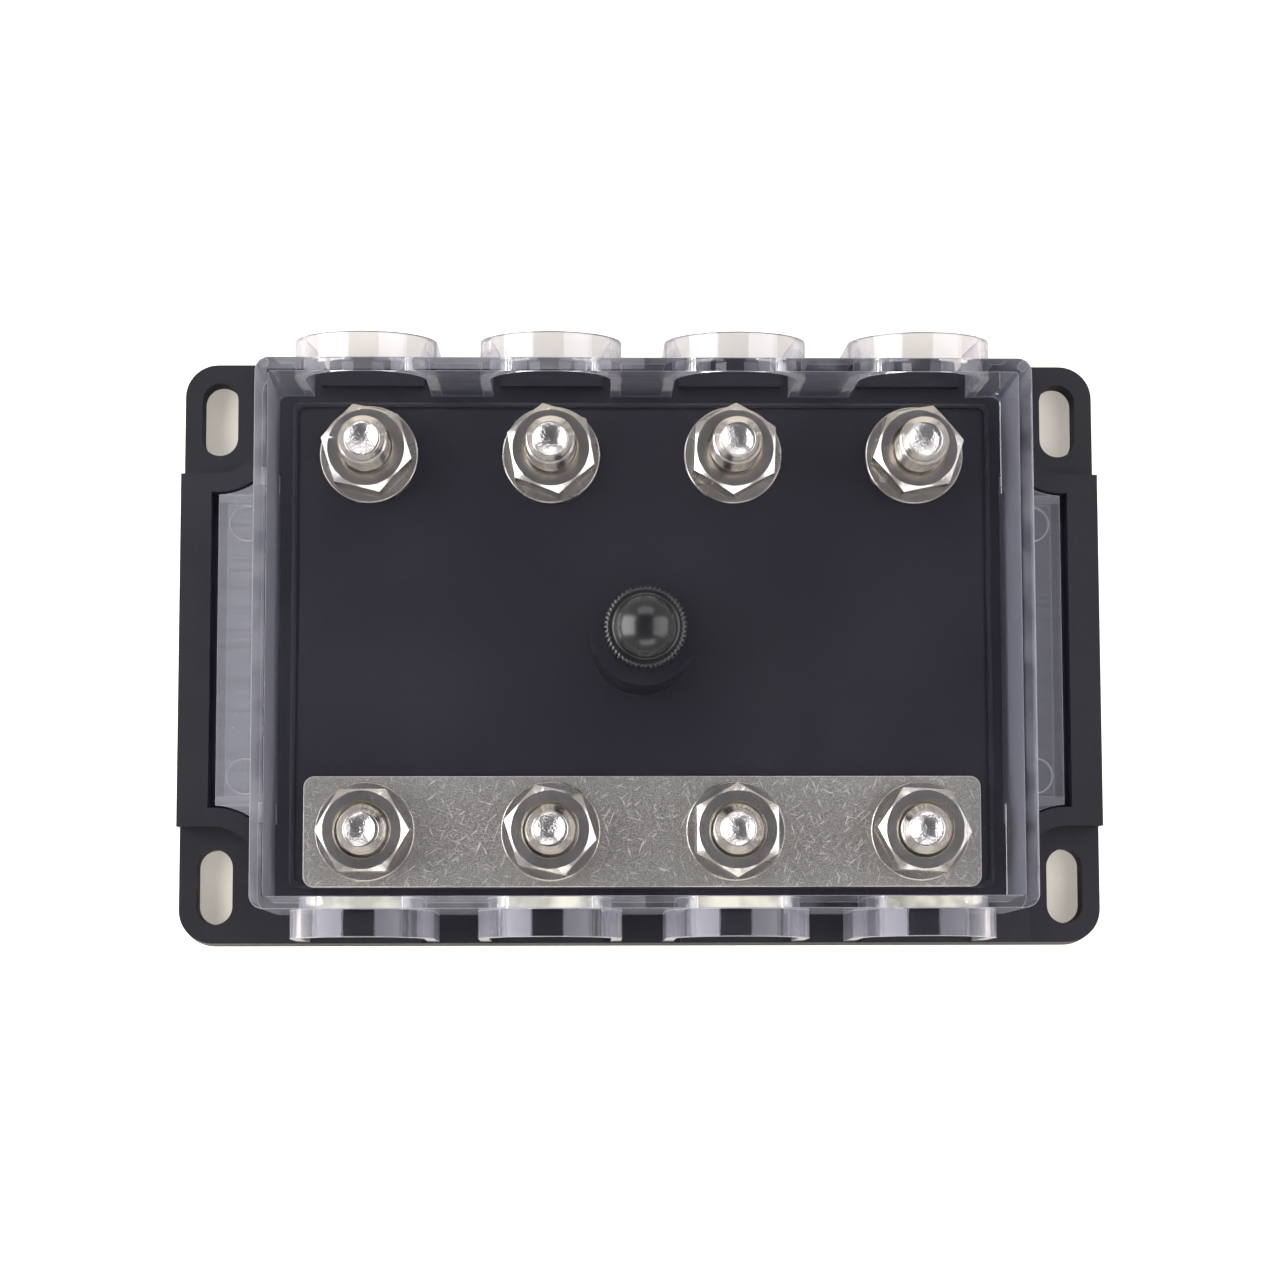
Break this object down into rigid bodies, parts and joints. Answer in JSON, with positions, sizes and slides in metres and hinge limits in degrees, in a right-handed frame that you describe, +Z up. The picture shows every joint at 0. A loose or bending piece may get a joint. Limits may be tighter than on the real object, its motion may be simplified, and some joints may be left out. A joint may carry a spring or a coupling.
{
  "type": "anl fuse holder",
  "caption": "Panel mounted strip fuse holder with threaded terminal studs, a common bus bar and a clear lift-off cover held by a central thumb nut.",
  "frame": {"origin": "centre of the underside", "axes": "+X along the row of studs, +Y across from the bus bar to the separate studs, +Z up out of the mounting panel"},
  "size_m": [0.1542, 0.0982, 0.0483],
  "materials": {
    "base_black": "satin moulded",
    "cover_clear": "clear moulded plastic",
    "bar_plated": "nickel plated, finely scratched",
    "stud_plated": "bright nickel plate",
    "washer_plated": "bright nickel plate",
    "nut_plated": "bright nickel plate",
    "knob_black": "gloss moulded"
  },
  "bodies": {
    "base": {"base": "base_black", "bus_bar": "bar_plated", "stud_1": "stud_plated", "stud_2": "stud_plated", "stud_3": "stud_plated", "stud_4": "stud_plated", "stud_5": "stud_plated", "stud_6": "stud_plated", "stud_7": "stud_plated", "stud_8": "stud_plated", "washer_1": "washer_plated", "washer_2": "washer_plated", "washer_3": "washer_plated", "washer_4": "washer_plated", "washer_5": "washer_plated", "washer_6": "washer_plated", "washer_7": "washer_plated", "washer_8": "washer_plated", "cover_stud": "stud_plated"},
    "cover": {"cover": "cover_clear"},
    "thumb_nut": {"thumb_nut": "knob_black"},
    "nut_1": {"nut_1": "nut_plated"},
    "nut_2": {"nut_2": "nut_plated"},
    "nut_3": {"nut_3": "nut_plated"},
    "nut_4": {"nut_4": "nut_plated"},
    "nut_5": {"nut_5": "nut_plated"},
    "nut_6": {"nut_6": "nut_plated"},
    "nut_7": {"nut_7": "nut_plated"},
    "nut_8": {"nut_8": "nut_plated"}
  },
  "joints": [
    {"name": "cover_lift", "type": "slide", "parent": "base", "child": "cover", "axis": [0, 0, 1], "range_m": [0, 0.05]},
    {"name": "thumb_nut_turn", "type": "hinge", "parent": "cover", "child": "thumb_nut", "pos_m": [0, 0, 0.0445], "axis": [0, 0, 1], "continuous": true},
    {"name": "nut_1_turn", "type": "hinge", "parent": "base", "child": "nut_1", "pos_m": [-0.04455, 0.03075, 0.0239], "axis": [0, 0, 1], "continuous": true},
    {"name": "nut_2_turn", "type": "hinge", "parent": "base", "child": "nut_2", "pos_m": [-0.01485, 0.03075, 0.0239], "axis": [0, 0, 1], "continuous": true},
    {"name": "nut_3_turn", "type": "hinge", "parent": "base", "child": "nut_3", "pos_m": [0.01485, 0.03075, 0.0239], "axis": [0, 0, 1], "continuous": true},
    {"name": "nut_4_turn", "type": "hinge", "parent": "base", "child": "nut_4", "pos_m": [0.04455, 0.03075, 0.0239], "axis": [0, 0, 1], "continuous": true},
    {"name": "nut_5_turn", "type": "hinge", "parent": "base", "child": "nut_5", "pos_m": [-0.04455, -0.03075, 0.0269], "axis": [0, 0, 1], "continuous": true},
    {"name": "nut_6_turn", "type": "hinge", "parent": "base", "child": "nut_6", "pos_m": [-0.01485, -0.03075, 0.0269], "axis": [0, 0, 1], "continuous": true},
    {"name": "nut_7_turn", "type": "hinge", "parent": "base", "child": "nut_7", "pos_m": [0.01485, -0.03075, 0.0269], "axis": [0, 0, 1], "continuous": true},
    {"name": "nut_8_turn", "type": "hinge", "parent": "base", "child": "nut_8", "pos_m": [0.04455, -0.03075, 0.0269], "axis": [0, 0, 1], "continuous": true}
  ]
}
